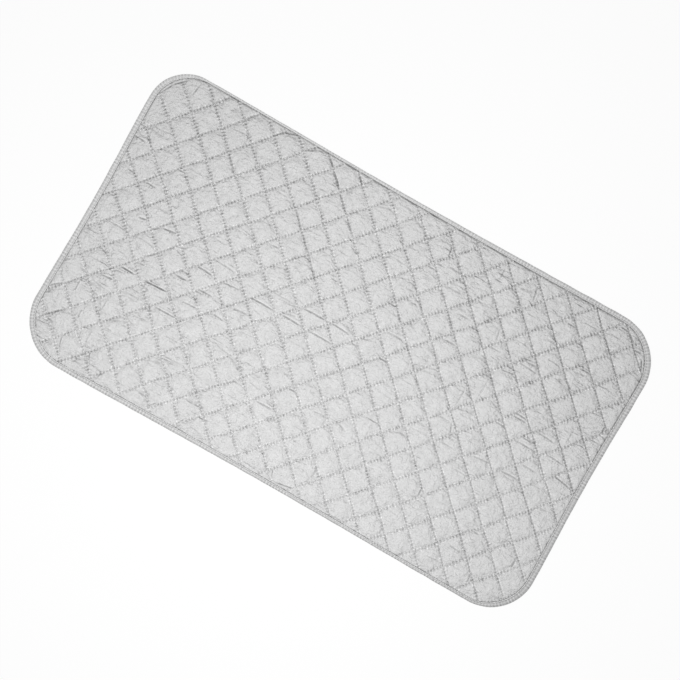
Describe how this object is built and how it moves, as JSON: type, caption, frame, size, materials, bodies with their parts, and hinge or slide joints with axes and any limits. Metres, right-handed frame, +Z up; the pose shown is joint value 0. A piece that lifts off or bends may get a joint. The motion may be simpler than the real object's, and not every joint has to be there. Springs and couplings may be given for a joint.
{
  "type": "ironing pad",
  "caption": "Quilted ironing pad: a silver-coated cloth face over felt wadding and a back cloth, sewn in diagonal rows and bound round its edge with folded tape.",
  "frame": {"origin": "middle of the resting face, under the centre of the pad", "axes": "+X along the pad's length, +Y across it, +Z up through its thickness, out of the silver face"},
  "size_m": [0.85, 0.48, 0.0043],
  "materials": {
    "silver_coated_cloth": "plain woven polyester cloth with a thin matte silver-grey heat-reflecting coating",
    "felt_wadding": "needle-punched polyester felt, undyed",
    "back_cloth": "plain woven cotton and polyester cloth, undyed",
    "binding_tape": "folded woven tape, silver-grey, matte",
    "polyester_thread": "spun polyester sewing thread, light grey"
  },
  "bodies": {
    "root": {"back_cloth": "back_cloth", "wadding": "felt_wadding", "face_cloth": "silver_coated_cloth", "quilting_thread_falling": "polyester_thread", "quilting_thread_rising": "polyester_thread", "edge_binding": "binding_tape", "binding_needle_thread": "polyester_thread", "binding_bobbin_thread": "polyester_thread"}
  },
  "joints": []
}
